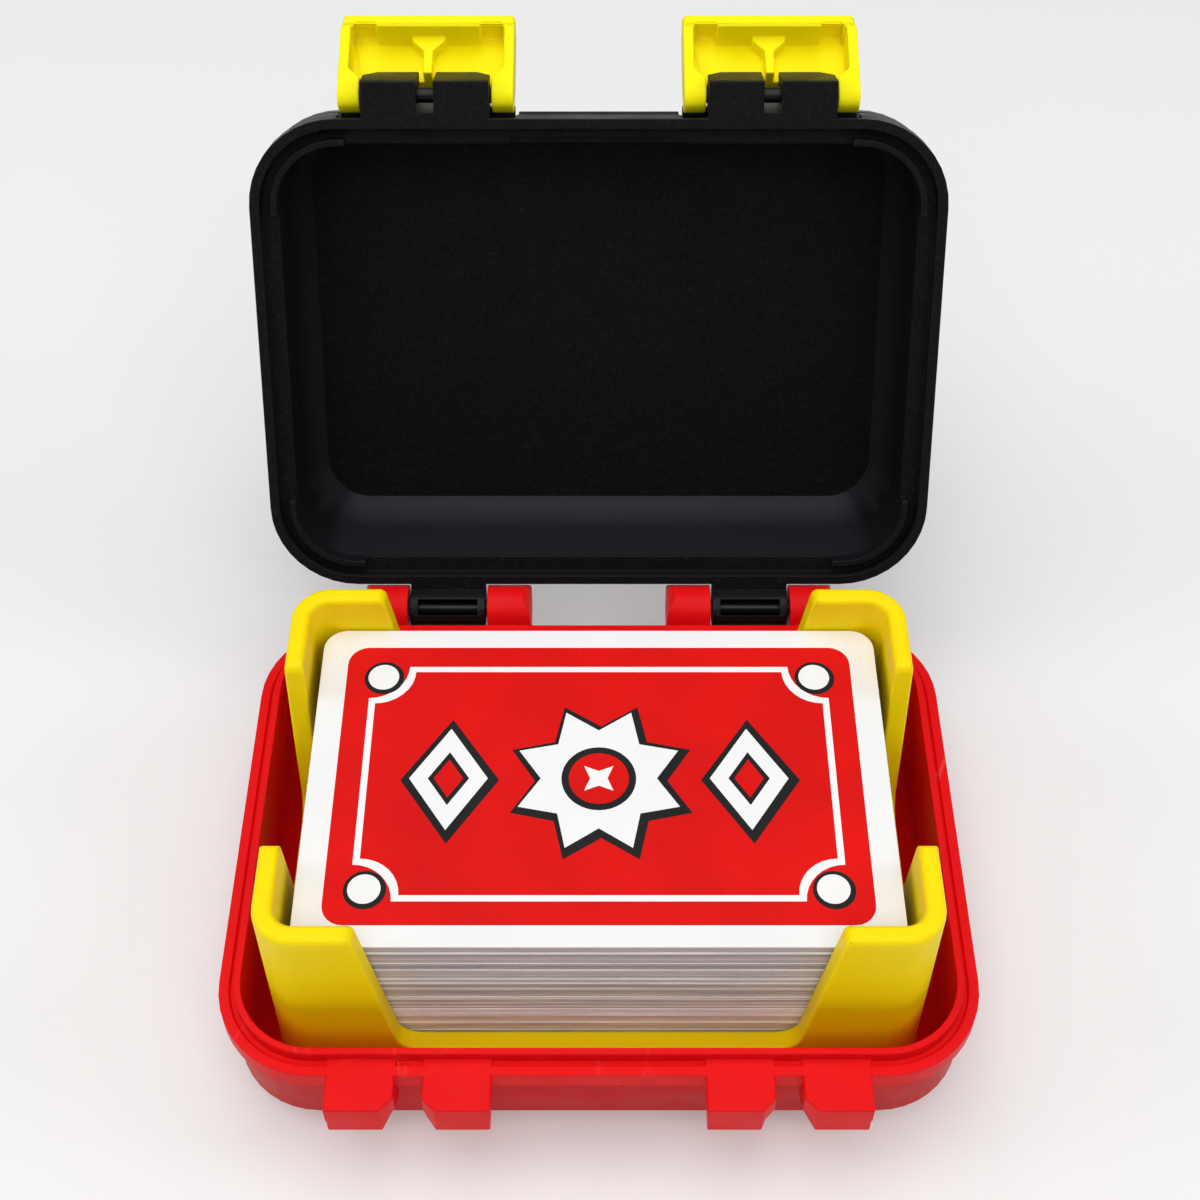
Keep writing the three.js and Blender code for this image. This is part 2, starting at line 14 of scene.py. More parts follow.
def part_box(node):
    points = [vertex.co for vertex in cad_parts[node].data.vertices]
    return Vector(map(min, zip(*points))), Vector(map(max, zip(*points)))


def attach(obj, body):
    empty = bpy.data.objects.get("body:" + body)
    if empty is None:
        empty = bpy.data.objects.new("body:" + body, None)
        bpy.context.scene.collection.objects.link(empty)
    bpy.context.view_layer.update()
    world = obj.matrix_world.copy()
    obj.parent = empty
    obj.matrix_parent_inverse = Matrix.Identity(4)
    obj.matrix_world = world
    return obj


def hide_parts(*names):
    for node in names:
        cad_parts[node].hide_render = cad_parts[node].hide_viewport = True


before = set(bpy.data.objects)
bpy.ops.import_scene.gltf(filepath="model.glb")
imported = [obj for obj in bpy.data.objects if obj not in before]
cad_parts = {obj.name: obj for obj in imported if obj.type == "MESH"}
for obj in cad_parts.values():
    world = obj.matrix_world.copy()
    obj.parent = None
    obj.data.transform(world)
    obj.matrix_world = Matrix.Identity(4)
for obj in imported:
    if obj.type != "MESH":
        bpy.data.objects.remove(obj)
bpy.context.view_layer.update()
scene = bpy.context.scene
scene.view_settings.view_transform = "Standard"
MM = 0.001

# The lid's hinge in mm, and how far the lid stands open in the frame, in degrees
HINGE = (0, 44.05, 20.12)
OPEN = 114.5

# The camera that was fitted to the photograph: lengths in the photograph's pixels, its place in m
PHOTO = 1200
FOCAL = 1917.23
CENTRE_ACROSS = 598.8
CENTRE_DOWN = 469.8
SENSOR = 36.0
CAMERA_PLACE = (0, -0.16183, 0.27555)
CAMERA_DOWN = 47.02


def make_camera():
    data = bpy.data.cameras.new("camera")
    data.sensor_fit = "HORIZONTAL"
    data.sensor_width = SENSOR
    data.lens = FOCAL / PHOTO * SENSOR
    data.shift_x = (PHOTO / 2 - CENTRE_ACROSS) / PHOTO
    data.shift_y = (CENTRE_DOWN - PHOTO / 2) / PHOTO
    data.clip_start = 0.01
    data.clip_end = 20.0
    camera = bpy.data.objects.new("camera", data)
    camera.location = CAMERA_PLACE
    camera.rotation_euler = (math.radians(90 - CAMERA_DOWN), 0, 0)
    scene.collection.objects.link(camera)
    scene.camera = camera


make_camera()

# Nodes that every material uses


def node(tree, kind, **settings):
    """A new node. A setting that isn't one of its inputs is a property."""
    made = tree.nodes.new(kind)
    for key, value in settings.items():
        if key in made.inputs:
            made.inputs[key].default_value = value
        else:
            setattr(made, key, value)
    return made


def calculate(tree, operation, *values):
    """The result of a math node. Each value is a socket or a float."""
    made = node(tree, "ShaderNodeMath", operation=operation)
    for value, socket in zip(values, made.inputs):
        if isinstance(value, float):
            socket.default_value = value
        else:
            tree.links.new(value, socket)
    return made.outputs["Value"]


def times(tree, first, second):
    return calculate(tree, "MULTIPLY", first, second)


def ramp(tree, value, low, high, start=0.0, end=1.0):
    """Start to end as the value goes from low to high, and level beyond them."""
    span = node(tree, "ShaderNodeMapRange")
    span.inputs["From Min"].default_value = low
    span.inputs["From Max"].default_value = high
    span.inputs["To Min"].default_value = start
    span.inputs["To Max"].default_value = end
    tree.links.new(value, span.inputs["Value"])
    return span.outputs["Result"]


def part_of(tree, vector, axis):
    split = node(tree, "ShaderNodeSeparateXYZ")
    tree.links.new(vector, split.inputs["Vector"])
    return split.outputs[axis]


def along(tree, vector, direction, low, high):
    """0 to 1 as a vector of the piece's own frame reaches from low to high along a direction."""
    reach = node(tree, "ShaderNodeVectorMath", operation="DOT_PRODUCT")
    reach.inputs[1].default_value = direction
    tree.links.new(vector, reach.inputs[0])
    return ramp(tree, reach.outputs["Value"], low, high)


def noise(tree, place, scale, detail=2.0, stretch=None):
    """A noise texture's strength, in the piece's own place."""
    vector = place.outputs["Object"]
    if stretch:
        mapping = node(tree, "ShaderNodeMapping", Scale=stretch)
        tree.links.new(vector, mapping.inputs["Vector"])
        vector = mapping.outputs["Vector"]
    made = node(tree, "ShaderNodeTexNoise", Scale=scale, Detail=detail)
    tree.links.new(vector, made.inputs["Vector"])
    return made.outputs["Fac"]


def blend_colour(tree, factor, first, second):
    """From the first colour to the second. Either one is a socket or three numbers."""
    mix = node(tree, "ShaderNodeMix", data_type="RGBA")
    tree.links.new(factor, mix.inputs["Factor"])
    for value, socket in ((first, mix.inputs["A"]), (second, mix.inputs["B"])):
        if isinstance(value, tuple):
            socket.default_value = (*value, 1)
        else:
            tree.links.new(value, socket)
    return mix.outputs["Result"]


def blend_shader(tree, factor, first, second, output):
    mix = node(tree, "ShaderNodeMixShader")
    tree.links.new(factor, mix.inputs[0])
    tree.links.new(first.outputs[0], mix.inputs[1])
    tree.links.new(second.outputs[0], mix.inputs[2])
    tree.links.new(mix.outputs[0], tree.nodes[output].inputs["Surface"])


def roughen(tree, bsdf, height, strength, distance):
    """A bump on top of the bump that the shader already has, if it has one."""
    bump = node(tree, "ShaderNodeBump", Strength=strength, Distance=distance)
    tree.links.new(height, bump.inputs["Height"])
    if bsdf.inputs["Normal"].is_linked:
        tree.links.new(bsdf.inputs["Normal"].links[0].from_socket, bump.inputs["Normal"])
    tree.links.new(bump.outputs["Normal"], bsdf.inputs["Normal"])


# Light: a broad soft box overhead, weaker ones in front and on each side, and a spot behind the case


def add_lamp(name, data, place, target):
    """A lamp that is turned to a target and that the camera doesn't see."""
    lamp = bpy.data.objects.new(name, data)
    lamp.location = place
    lamp.rotation_euler = (Vector(target) - Vector(place)).to_track_quat("-Z", "Y").to_euler()
    lamp.visible_camera = False
    scene.collection.objects.link(lamp)


def soft_box(name, place, target, size, power):
    data = bpy.data.lights.new(name, "AREA")
    data.shape = "RECTANGLE"
    data.size, data.size_y = size
    data.energy = power
    add_lamp(name, data, place, target)


def spot(name, place, target, power, cone):
    """A soft round beam, with its cone in degrees."""
    data = bpy.data.lights.new(name, "SPOT")
    data.energy = power
    data.spot_size = math.radians(cone)
    data.spot_blend = 1.0
    data.shadow_soft_size = 0.015
    add_lamp(name, data, place, target)


soft_box("overhead", (-0.08, 0.06, 0.95), (0, 0.02, 0.03), (0.8, 0.7), 3.8)
soft_box("left", (-0.75, 0.0, 0.50), (0, 0.02, 0.03), (0.4, 0.4), 1.5)
soft_box("right", (0.75, 0.0, 0.55), (0, 0.02, 0.03), (0.4, 0.4), 1.6)
soft_box("front", (0.05, -0.56, 0.84), (0, 0.0, 0.03), (0.9, 0.4), 3.0)
spot("behind", (0.0, 0.35, 0.30), (0, 0.060, 0.0), 1.8, 15)

BACKGROUND = (0.84, 0.84, 0.84, 1)
WORLD_LOW = 0.12
WORLD_HIGH = 0.42


def make_world():
    """Plain white light, weaker towards the horizon, and a pale background for the camera."""
    world = bpy.data.worlds.new("world")
    scene.world = world
    world.use_nodes = True
    tree = world.node_tree
    light = tree.nodes["Background"]
    light.inputs["Color"].default_value = (1, 1, 1, 1)
    height = part_of(tree, node(tree, "ShaderNodeTexCoord").outputs["Generated"], "Z")
    tree.links.new(ramp(tree, height, 0.0, 1.0, WORLD_LOW, WORLD_HIGH), light.inputs["Strength"])
    pale = node(tree, "ShaderNodeBackground", Color=BACKGROUND)
    path = node(tree, "ShaderNodeLightPath")
    blend_shader(tree, path.outputs["Is Camera Ray"], light, pale, "World Output")


make_world()

# Materials


def shader(name, colour, roughness, metallic=0.0, specular=0.5):
    material = bpy.data.materials.new(name)
    material.use_nodes = True
    tree = material.node_tree
    bsdf = tree.nodes["Principled BSDF"]
    bsdf.inputs["Base Color"].default_value = (*colour, 1)
    bsdf.inputs["Roughness"].default_value = roughness
    bsdf.inputs["Metallic"].default_value = metallic
    bsdf.inputs["Specular IOR Level"].default_value = specular
    return material, tree, bsdf


def scuffs(tree, place):
    """Thin broken lines, as of things rubbed against the plastic, from 0 to 1."""
    mapping = node(tree, "ShaderNodeMapping", Scale=(1.0, 0.35, 1.0), Rotation=(0.3, 0.2, 0.5))
    tree.links.new(place.outputs["Object"], mapping.inputs["Vector"])
    cells = node(tree, "ShaderNodeTexVoronoi", feature="DISTANCE_TO_EDGE", Scale=95.0)
    tree.links.new(mapping.outputs["Vector"], cells.inputs["Vector"])
    line = ramp(tree, cells.outputs["Distance"], 0.0, 0.022, 1.0, 0.0)
    where = ramp(tree, noise(tree, place, 60.0), 0.56, 0.68)
    return times(tree, line, where)


def moulded(
    name, colour, mottled, roughness, distance, strength, scale=900.0, specular=0.5, worn=None, depth=None
):
    """Moulded plastic: faintly mottled, with a patchy roughness, a fine grain and a few scuffs.

    Distance, strength and scale are the grain's. Worn is the scuffs' colour, if there are any.
    Depth is how far light goes into the plastic, in mm, if it lets any in.
    """
    material, tree, bsdf = shader(name, colour, roughness, specular=specular)
    if depth:
        bsdf.inputs["Subsurface Weight"].default_value = 0.35
        bsdf.inputs["Subsurface Radius"].default_value = (1.0, 0.55, 0.08)
        bsdf.inputs["Subsurface Scale"].default_value = depth * MM
    place = node(tree, "ShaderNodeTexCoord")
    shade = blend_colour(tree, noise(tree, place, 55.0, 3.0), colour, mottled)
    patches = noise(tree, place, 160.0, 4.0)
    rough = ramp(tree, patches, 0.3, 0.7, roughness - 0.05, roughness + 0.07)
    if worn:
        mark = scuffs(tree, place)
        shade = blend_colour(tree, times(tree, mark, 0.45), shade, worn)
        rough = calculate(tree, "MULTIPLY_ADD", mark, 0.15, rough)
    tree.links.new(shade, bsdf.inputs["Base Color"])
    tree.links.new(rough, bsdf.inputs["Roughness"])
    roughen(tree, bsdf, noise(tree, place, scale), strength, distance)
    return material


def base_plastic():
    """Red plastic, with painted shade on the outer walls below the flange: their colour is a little darker
    there, where the flange overhangs them.
    """
    material = moulded(
        "red_plastic", (0.80, 0.006, 0.008), (0.72, 0.005, 0.007), 0.40, 0.00005, 0.15,
        specular=0.08, worn=(0.86, 0.10, 0.09),
    )
    tree = material.node_tree
    colour = tree.nodes["Principled BSDF"].inputs["Base Color"]
    place = node(tree, "ShaderNodeTexCoord")
    # Painted shade: the outer walls below the flange, apart from the lugs, are darkened in colour as if
    # shaded by the flange.
    below = along(tree, place.outputs["Object"], (0, 0, -1), -0.0172, -0.0166)
    within = along(tree, place.outputs["Object"], (0, 1, 0), -0.0396, -0.0392)
    outward = node(tree, "ShaderNodeVectorMath", operation="DOT_PRODUCT")
    tree.links.new(place.outputs["Object"], outward.inputs[0])
    tree.links.new(place.outputs["Normal"], outward.inputs[1])
    outer = ramp(tree, outward.outputs["Value"], 0.002, 0.010)
    flange_shade = times(tree, times(tree, below, within), outer)
    shade = blend_colour(tree, times(tree, flange_shade, 0.9), colour.links[0].from_socket, (0.54, 0.004, 0.006))
    tree.links.new(shade, colour)
    return material


def lid_plastic():
    """Black plastic: satin on rims and walls, with painted light that makes the slopes and the low wall of
    the hollow paler, and finely grained on the panel, whose darker speckled colour is painted shade.
    """
    material = moulded(
        "black_plastic", (0.0088, 0.0095, 0.0112), (0.0066, 0.0072, 0.0086), 0.38, 0.00004, 0.15,
        1200.0, 0.12,
    )
    tree = material.node_tree
    bsdf = tree.nodes["Principled BSDF"]
    place = node(tree, "ShaderNodeTexCoord")
    turn = math.radians(OPEN)
    inward = (0, -math.sin(turn), -math.cos(turn))
    upward = (0, -math.cos(turn), math.sin(turn))
    rim = (HINGE[1] * inward[1] + HINGE[2] * inward[2]) * MM

    # Where the panel is, where its slopes are, and where the low wall of the hollow is
    panel = along(tree, place.outputs["Normal"], inward, 0.97, 0.995)
    deep = along(tree, place.outputs["Object"], inward, rim - 0.0128, rim - 0.0134)
    slanted = times(tree, along(tree, place.outputs["Normal"], inward, 0.10, 0.22), deep)
    sloped = times(tree, slanted, along(tree, place.outputs["Normal"], inward, 0.95, 0.60))
    lower = along(tree, place.outputs["Normal"], upward, 0.80, 0.96)
    hollow = along(tree, place.outputs["Object"], inward, rim - 0.0025, rim - 0.0030)
    # Painted light: the slopes and the low wall of the hollow face the lamps, so pale makes them paler in
    # colour.
    slope_painted_light = times(tree, sloped, calculate(tree, "MULTIPLY_ADD", lower, 0.6, 0.25))
    wall_painted_light = times(tree, times(tree, lower, hollow), 0.20)
    pale = calculate(tree, "MAXIMUM", slope_painted_light, wall_painted_light)

    # Painted shade on the panel: the speckles are the plastic's grain, but their colour sits darker than
    # the rest of the lid as if less light fell there.
    specks = ramp(tree, noise(tree, place, 1500.0), 0.52, 0.72)
    speckled_painted_shade = blend_colour(tree, specks, (0.0032, 0.0034, 0.0042), (0.0085, 0.0088, 0.0096))
    shade = blend_colour(tree, panel, bsdf.inputs["Base Color"].links[0].from_socket, speckled_painted_shade)
    # Painted light: the paler grey on the slopes and the low wall.
    shade = blend_colour(tree, pale, shade, (0.0480, 0.0515, 0.0580))
    tree.links.new(shade, bsdf.inputs["Base Color"])
    satin = bsdf.inputs["Roughness"].links[0].from_socket
    tree.links.new(calculate(tree, "MULTIPLY_ADD", panel, 0.28, satin), bsdf.inputs["Roughness"])
    grained = calculate(tree, "MAXIMUM", panel, sloped)
    roughen(tree, bsdf, times(tree, noise(tree, place, 2400.0, 3.0), grained), 0.7, 0.00014)
    return material


def metal():
    """Blackened steel with fine marks of turning along the pin."""
    material, tree, bsdf = shader("pin_metal", (0.014, 0.0145, 0.016), 0.34, 0.7)
    place = node(tree, "ShaderNodeTexCoord")
    rings = noise(tree, place, 900.0, 3.0, (6.0, 1.0, 1.0))
    tree.links.new(ramp(tree, rings, 0.3, 0.7, 0.26, 0.44), bsdf.inputs["Roughness"])
    roughen(tree, bsdf, rings, 0.2, 0.00003)
    return material


def cut_edge_with_painted_light(name, low, high):
    """Cut card edges: a low colour at the bottom of the deck and a high one further up, with a fine grain
    along the cut. The low colours given are warmer, and those of the darker tones lighter, as painted
    light where the tray's rim shades the lowest cards.
    """
    material, tree, bsdf = shader(name, high, 0.78, specular=0.2)
    place = node(tree, "ShaderNodeTexCoord")
    height = part_of(tree, place.outputs["Object"], "Z")
    # Painted light: the lighter low colours brighten the lowest cards, which the tray's rim shades.
    shade = blend_colour(tree, ramp(tree, height, 0.006, 0.030), low, high)
    dark = tuple(0.72 * part for part in high)
    streak = ramp(tree, noise(tree, place, 260.0, 3.0, (0.25, 0.25, 14.0)), 0.35, 0.65, 0.0, 0.6)
    tree.links.new(blend_colour(tree, streak, shade, dark), bsdf.inputs["Base Color"])
    roughen(tree, bsdf, noise(tree, place, 900.0, 2.0, (0.3, 0.3, 5.0)), 0.35, 0.00004)
    return material


def paper(name, colour, mottled, corner_cream=None):
    """Coated card: a faint cloudiness and linen grain, and a cream tint towards the rear corners if one is
    given.
    """
    material, tree, bsdf = shader(name, colour, 0.52, specular=0.12)
    place = node(tree, "ShaderNodeTexCoord")
    shade = blend_colour(tree, ramp(tree, noise(tree, place, 70.0, 4.0), 0.35, 0.70), colour, mottled)
    if corner_cream:
        far = ramp(tree, part_of(tree, place.outputs["Object"], "Y"), 0.012, 0.028)
        wide = calculate(tree, "ABSOLUTE", part_of(tree, place.outputs["Object"], "X"))
        corner = times(tree, far, ramp(tree, wide, 0.030, 0.0435))
        corner = times(tree, corner, ramp(tree, noise(tree, place, 120.0), 0.30, 0.60))
        shade = blend_colour(tree, times(tree, corner, 0.6), shade, corner_cream)
    tree.links.new(shade, bsdf.inputs["Base Color"])
    rough = ramp(tree, noise(tree, place, 240.0, 3.0), 0.3, 0.7, 0.46, 0.60)
    tree.links.new(rough, bsdf.inputs["Roughness"])
    roughen(tree, bsdf, noise(tree, place, 1700.0, 3.0), 0.25, 0.00004)
    return material


red = base_plastic()
black = lid_plastic()
yellow = moulded(
    "yellow_tray", (0.99, 0.76, 0.003), (0.97, 0.71, 0.002), 0.42, 0.00004, 0.12,
    specular=0.10, worn=(0.99, 0.84, 0.06), depth=1.5,
)
latch_yellow = moulded(
    "yellow_latch", (0.99, 0.87, 0.004), (0.99, 0.83, 0.003), 0.42, 0.00004, 0.12,
    specular=0.08, worn=(0.99, 0.88, 0.06), depth=1.5,
)
pin_metal = metal()
# Painted shade: the edge colours are darker than the card's white and stand in for the shade of the gaps
# between cards. The white one is for cards that stand out. Each card's tone is chosen at random.
edges_of_cards = (
    cut_edge_with_painted_light("card_edge_mid", (0.86, 0.80, 0.50), (0.55, 0.485, 0.485)),
    cut_edge_with_painted_light("card_edge_dark", (0.70, 0.65, 0.41), (0.43, 0.375, 0.375)),
    cut_edge_with_painted_light("card_edge_light", (0.93, 0.88, 0.62), (0.68, 0.62, 0.62)),
    cut_edge_with_painted_light("card_edge_white", (0.94, 0.91, 0.86), (0.94, 0.93, 0.93)),
)
card_white = paper("card_white", (0.86, 0.86, 0.86), (0.83, 0.83, 0.83), (0.84, 0.78, 0.66))
print_red = paper("print_red", (0.74, 0.0040, 0.0028), (0.62, 0.0035, 0.0030))
print_black = paper("print_black", (0.016, 0.016, 0.017), (0.012, 0.012, 0.013))
print_white = paper("print_white", (0.88, 0.88, 0.88), (0.85, 0.85, 0.85))


def give(obj, *materials):
    obj.data.materials.clear()
    for material in materials:
        obj.data.materials.append(material)


# Soft edges on the solids, as modifiers, with the solids' own meshes left as they are


def modifier_group(name):
    """A group for a modifier, with the socket that the mesh comes from and the one that it goes to."""
    group = bpy.data.node_groups.new(name, "GeometryNodeTree")
    for direction in ("INPUT", "OUTPUT"):
        group.interface.new_socket("Geometry", in_out=direction, socket_type="NodeSocketGeometry")
    start = group.nodes.new("NodeGroupInput")
    end = group.nodes.new("NodeGroupOutput")
    return group, start.outputs[0], end.inputs[0]


def shading_group():
    """Smooth shading, kept sharp where two faces meet at more than 50 degrees."""
    group, start, end = modifier_group("smooth_shading")
    faces = node(group, "GeometryNodeSetShadeSmooth", domain="FACE")
    faces.inputs["Shade Smooth"].default_value = True
    edges = node(group, "GeometryNodeSetShadeSmooth", domain="EDGE")
    edges.inputs["Shade Smooth"].default_value = False
    angle = group.nodes.new("GeometryNodeInputMeshEdgeAngle")
    sharp = node(group, "FunctionNodeCompare", data_type="FLOAT", operation="GREATER_THAN")
    sharp.inputs["B"].default_value = math.radians(50)
    group.links.new(start, faces.inputs["Geometry"])
    group.links.new(angle.outputs["Unsigned Angle"], sharp.inputs["A"])
    group.links.new(sharp.outputs["Result"], edges.inputs["Selection"])
    group.links.new(faces.outputs["Geometry"], edges.inputs["Geometry"])
    group.links.new(edges.outputs["Geometry"], end)
    return group


smooth_shading = shading_group()


def edge_weights(name, rest=1.0, zone=(), spare=(), sharp_from=28):
    """Weights for the bevel: 1 on sharp edges in the zone, 0 in the spare one, and rest on the others.

    An edge is sharp from sharp_from degrees. A zone is a list of an axis, a comparison and a
    place in mm.
    """
    group, start, end = modifier_group(name)
    angle = group.nodes.new("GeometryNodeInputMeshEdgeAngle").outputs["Unsigned Angle"]
    sharp = calculate(group, "GREATER_THAN", angle, math.radians(sharp_from))
    place = group.nodes.new("GeometryNodeInputPosition").outputs[0]

    def within(conditions):
        inside = sharp
        for axis, comparison, limit in conditions:
            past = calculate(group, comparison, part_of(group, place, axis), limit * MM)
            inside = times(group, inside, past)
        return inside

    weight = times(group, sharp, rest)
    if zone:
        weight = calculate(group, "MAXIMUM", weight, within(zone))
    if spare:
        weight = calculate(group, "SUBTRACT", weight, within(spare))
    store = node(group, "GeometryNodeStoreNamedAttribute", data_type="FLOAT", domain="EDGE")
    store.inputs["Name"].default_value = "bevel_weight_edge"
    group.links.new(start, store.inputs["Geometry"])
    group.links.new(weight, store.inputs["Value"])
    group.links.new(store.outputs["Geometry"], end)
    return group


def soften(obj, width, segments=2, weld=0.002, regular=False, **zones):
    """Rounds the sharp edges by a width in mm.

    Weld is how near points join, in mm. Regular makes the triangles of the flat faces even first.
    """
    joined = obj.modifiers.new("weld", "WELD")
    joined.merge_threshold = weld * MM
    if regular:
        flat = obj.modifiers.new("flat", "DECIMATE")
        flat.decimate_type = "DISSOLVE"
        flat.angle_limit = math.radians(0.05)
        obj.modifiers.new("triangles", "TRIANGULATE").ngon_method = "BEAUTY"
    weights = obj.modifiers.new("weights", "NODES")
    weights.node_group = edge_weights(obj.name + "_edges", **zones)
    edges = obj.modifiers.new("edges", "BEVEL")
    edges.width = width * MM
    edges.segments = segments
    edges.limit_method = "WEIGHT"
    edges.use_clamp_overlap = False
    edges.loop_slide = False
    edges.face_strength_mode = "FSTR_ALL"
    shading = obj.modifiers.new("shading", "NODES")
    shading.node_group = smooth_shading
    normals = obj.modifiers.new("normals", "WEIGHTED_NORMAL")
    normals.keep_sharp = True
    normals.use_face_influence = True


def dress_solids():
    """A material for each solid, and soft edges on those that aren't cards."""
    lugs = [("Y", "LESS_THAN", -40.6), ("Z", "GREATER_THAN", 16.9)]
    latch_end = [("Y", "GREATER_THAN", 96.5)]
    knife = [("Y", "GREATER_THAN", 95.4), ("Y", "LESS_THAN", 95.8), ("Z", "GREATER_THAN", 102.3)]
    for name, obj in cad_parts.items():
        if name.startswith(("hinge_pin", "latch_pin")):
            give(obj, pin_metal)
            soften(obj, 0.1)
        elif name == "base_shell":
            give(obj, red)
            soften(obj, 0.35, 3, regular=True, rest=0.5, zone=lugs, sharp_from=40)
        elif name == "lid_shell":
            give(obj, black)
            soften(obj, 0.12, weld=0.1, regular=True)
        elif name == "card_tray":
            give(obj, yellow)
            soften(obj, 0.4, 3, regular=True)
        elif name in ("latch_left", "latch_right"):
            give(obj, latch_yellow)
            soften(obj, 0.75, 4, rest=0.3, zone=latch_end, spare=knife)
        elif name == "top_card":
            give(obj, card_white)
        else:
            give(obj, edges_of_cards[0])


dress_solids()

# New pieces


def new_piece(name, vertices, faces, body, slot, *materials):
    """A piece of its own on a body, from points in mm."""
    mesh = bpy.data.meshes.new(name)
    mesh.from_pydata([tuple(part * MM for part in vertex) for vertex in vertices], [], faces)
    obj = bpy.data.objects.new(name, mesh)
    scene.collection.objects.link(obj)
    give(obj, *materials)
    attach(obj, body)
    return obj


# The corners of a rectangle, counted round from the right front
CORNERS = ((1, -1), (1, 1), (-1, 1), (-1, -1))


def rounded(half_x, half_y, radius, corner=6, side=0):
    """A rounded rectangle's points, with side steps along each long side if side isn't 0."""
    points = []
    for turn, (sx, sy) in enumerate(CORNERS):
        start = -math.pi / 2 + turn * math.pi / 2
        for step in range(corner + 1):
            angle = start + step / corner * math.pi / 2
            x = sx * (half_x - radius) + radius * math.cos(angle)
            points.append((x, sy * (half_y - radius) + radius * math.sin(angle)))
        if turn in (1, 3):
            span = 2 * (half_x - radius)
            for step in range(1, side):
                points.append((points[-1][0] + (-span if turn == 1 else span) / side, points[-1][1]))
    return points


# The deck: each card by itself, a little out of line and faintly bowed

PACKETS = 12
CARDS = 9
CARD_RADIUS = 3.6
WHITE_EDGE = 3


def card_points(low, high, z, pitch, rise, dx, dy, tuck):
    """Four rings of points, from a card's lower face to its upper one. Rise is 0 to 1 up the deck."""
    outer = rounded(high[0] - 0.02, high[1] - 0.02, CARD_RADIUS, side=22)
    inner = rounded(high[0] - 0.02 - tuck, high[1] - 0.02 - tuck, CARD_RADIUS - tuck, side=22)
    points = []
    for ring, height in ((inner, 0.004), (outer, 0.26), (outer, 0.74), (inner, 0.996)):
        for x, y in ring:
            wave = math.sin(x / 13.0 + 5.0 * rise) + 0.6 * math.sin(x / 5.5 - 9.0 * rise)
            bow = 0.045 * math.sin(math.pi * rise) * wave
            points.append((x + dx, y + dy, z + height * pitch + bow))
    return points, len(outer)


def deck_of_cards():
    dice = random.Random(11)
    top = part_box("top_card")[0][2] / MM
    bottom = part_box("card_packet_01")[0][2] / MM
    for number in range(1, PACKETS + 1):
        node_name = "card_packet_%02d" % number
        low, high = ([part / MM for part in corner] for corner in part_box(node_name))
        pitch = (high[2] - low[2]) / CARDS
        vertices, faces, tones = [], [], []
        for card in range(CARDS):
            z = low[2] + card * pitch
            dx = dice.uniform(-0.16, 0.16)
            dy = dice.uniform(-0.08, 0.08)
            tuck = 0.05 + 0.05 * dice.random()
            tone = dice.choices((0, 1, 2, 3), (46, 22, 16, 16))[0]
            if tone == WHITE_EDGE:
                dy, tuck = -0.10, 0.03
            first = len(vertices)
            rise = (z - bottom) / (top - bottom)
            points, count = card_points(low, high, z, pitch, rise, dx, dy, tuck)
            vertices += points
            for level in range(3):
                for step in range(count):
                    after = (step + 1) % count
                    a = first + level * count
                    b = a + count
                    faces.append((a + step, a + after, b + after, b + step))
            faces.append(tuple(first + step for step in reversed(range(count))))
            faces.append(tuple(first + 3 * count + step for step in range(count)))
            tones += [tone] * (3 * count + 2)
        obj = new_piece("cards_%02d" % number, vertices, faces, "deck", "card_stock", *edges_of_cards)
        for face, tone in zip(obj.data.polygons, tones):
            face.material_index = tone
        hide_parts(node_name)


deck_of_cards()

# The top card's print: a plain ornament of the builder's own, in thin layers of ink


def plates(name, shapes, bottom, top, material):
    """Thin closed plates of one ink, from bottom to top in mm over the card's face.

    A shape is an outline, or an outline and a hole of as many points.
    """
    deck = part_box("top_card")[1][2] / MM
    vertices, faces = [], []
    for shape in shapes:
        low = len(vertices)
        count = len(shape[0])
        high = low + len(shape) * count
        for height in (bottom, top):
            for loop in shape:
                vertices += [(x, y, deck + height) for x, y in loop]
        for step in range(count):
            after = (step + 1) % count
            faces.append((low + step, low + after, high + after, high + step))
            if len(shape) == 2:
                hole_low, hole_high = low + count, high + count
                faces.append((hole_low + after, hole_low + step, hole_high + step, hole_high + after))
                faces.append((high + step, high + after, hole_high + after, hole_high + step))
                faces.append((low + after, low + step, hole_low + step, hole_low + after))
        if len(shape) == 1:
            faces.append(tuple(high + step for step in range(count)))
            faces.append(tuple(low + step for step in reversed(range(count))))
    obj = new_piece(name, vertices, faces, "deck", "card_face", material)
    shaped = bmesh.new()
    shaped.from_mesh(obj.data)
    bmesh.ops.triangulate(shaped, faces=shaped.faces)
    shaped.to_mesh(obj.data)
    shaped.free()


def star(x, y, points, outer, inner, turn):
    made = []
    for step in range(2 * points):
        radius = inner if step % 2 else outer
        angle = math.radians(turn) + step * math.pi / points
        made.append((x + radius * math.cos(angle), y + radius * math.sin(angle)))
    return made


def disc(x, y, radius, sides=40):
    angles = [2 * math.pi * step / sides for step in range(sides)]
    return [(x + radius * math.cos(angle), y + radius * math.sin(angle)) for angle in angles]


def lozenge(x, y, half_x, half_y):
    return [(x + half_x, y), (x, y + half_y), (x - half_x, y), (x, y - half_y)]


def ticket(half_x, half_y, notch, sides=8):
    """A rectangle with hollow round corners."""
    made = []
    for turn, (sx, sy) in enumerate(CORNERS):
        start = math.pi + turn * math.pi / 2
        for step in range(sides + 1):
            angle = start - step / sides * math.pi / 2
            made.append((sx * half_x + notch * math.cos(angle), sy * half_y + notch * math.sin(angle)))
    return made


